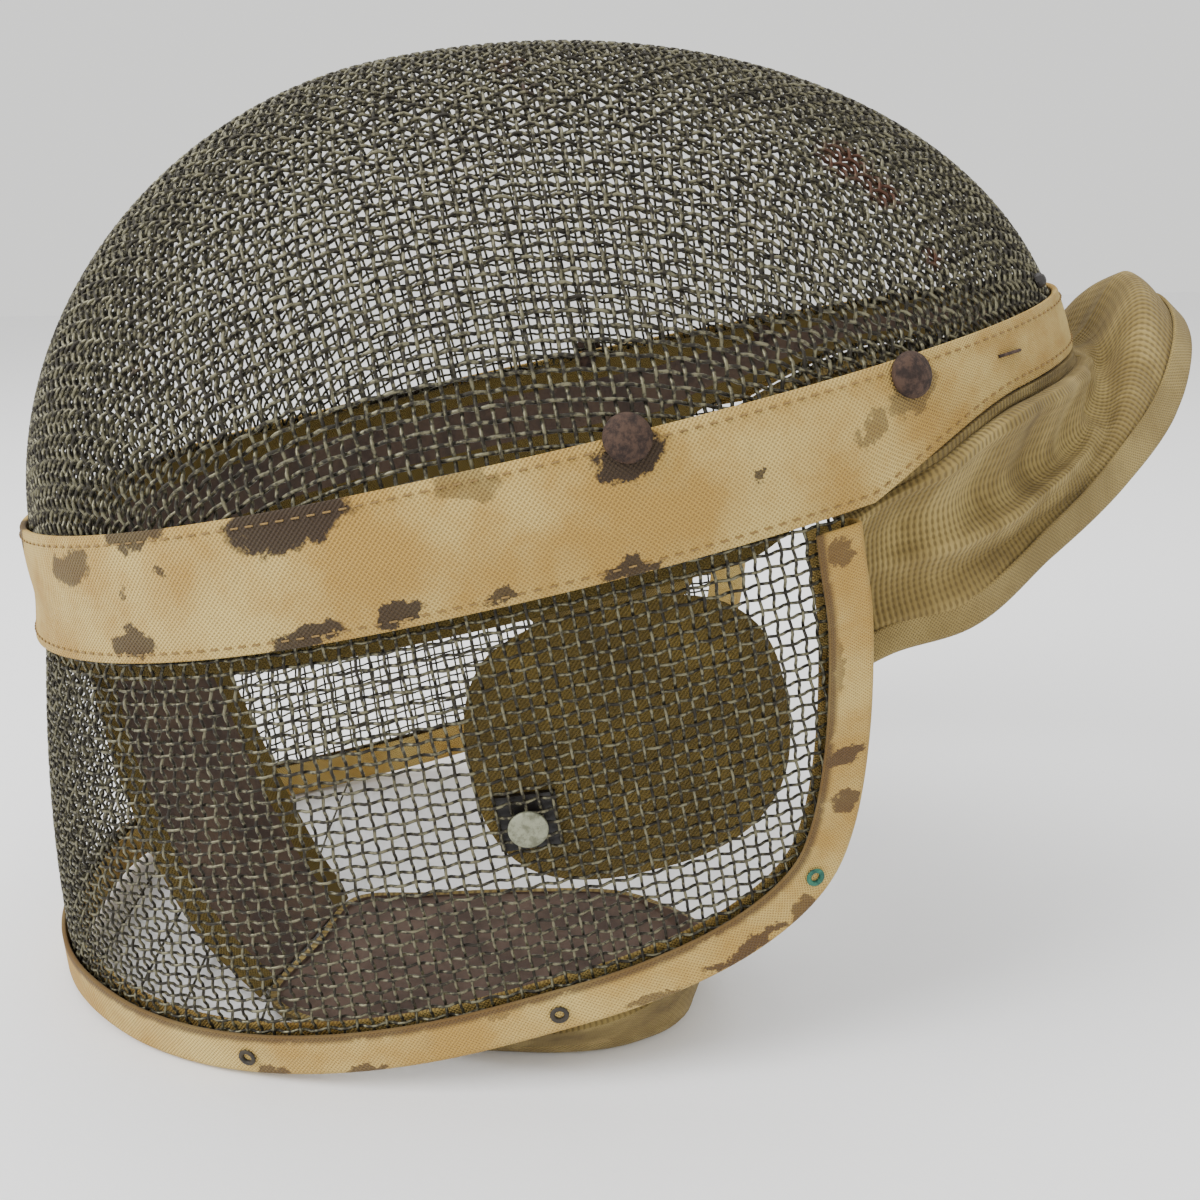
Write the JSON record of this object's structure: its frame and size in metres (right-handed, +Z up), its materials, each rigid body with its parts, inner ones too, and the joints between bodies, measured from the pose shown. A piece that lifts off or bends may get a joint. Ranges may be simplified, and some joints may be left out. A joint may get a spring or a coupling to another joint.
{
  "type": "fencing mask",
  "caption": "Fencing mask of woven wire with a canvas band, taped face edge, cloth hood behind, cheek pads inside and a leather-lined chin strap and bib.",
  "frame": {"origin": "middle of the footprint, on the surface that the mask rests on", "axes": "+Z up, the face looks along -Y, the wearer's left side is +X"},
  "size_m": [0.217, 0.3316, 0.2505],
  "materials": {
    "wire": "dark tarnished woven steel wire",
    "canvas": "stained plain-weave canvas",
    "tape": "cotton binding tape",
    "leather": "dull brown leather with cloth borders",
    "twill": "khaki cotton twill",
    "pad": "olive twill",
    "black_leather": "black leather",
    "rust": "rusted steel",
    "zinc": "dull zinc plate"
  },
  "bodies": {
    "root": {"crown_mesh": "wire", "face_mesh": "wire", "canvas_band": "canvas", "band_lining": "leather", "edge_binding": "tape", "rear_hood": "twill", "hood_binding": "tape", "cheek_pad_left": "pad", "cheek_pad_right": "pad", "cheek_rivet_left": "zinc", "cheek_rivet_right": "zinc", "cheek_washer_left": "black_leather", "cheek_washer_right": "black_leather", "chin_strap": "leather", "throat_bib": "twill", "crown_stud": "black_leather", "band_rivet_front_left": "rust", "band_rivet_front_right": "rust", "band_rivet_rear_left": "rust", "band_rivet_rear_right": "rust", "band_staple_left": "rust", "band_staple_right": "rust", "eyelet_front_left": "zinc", "eyelet_front_right": "zinc", "eyelet_middle_left": "zinc", "eyelet_middle_right": "zinc", "eyelet_rear_left": "zinc", "eyelet_rear_right": "zinc"}
  },
  "joints": []
}
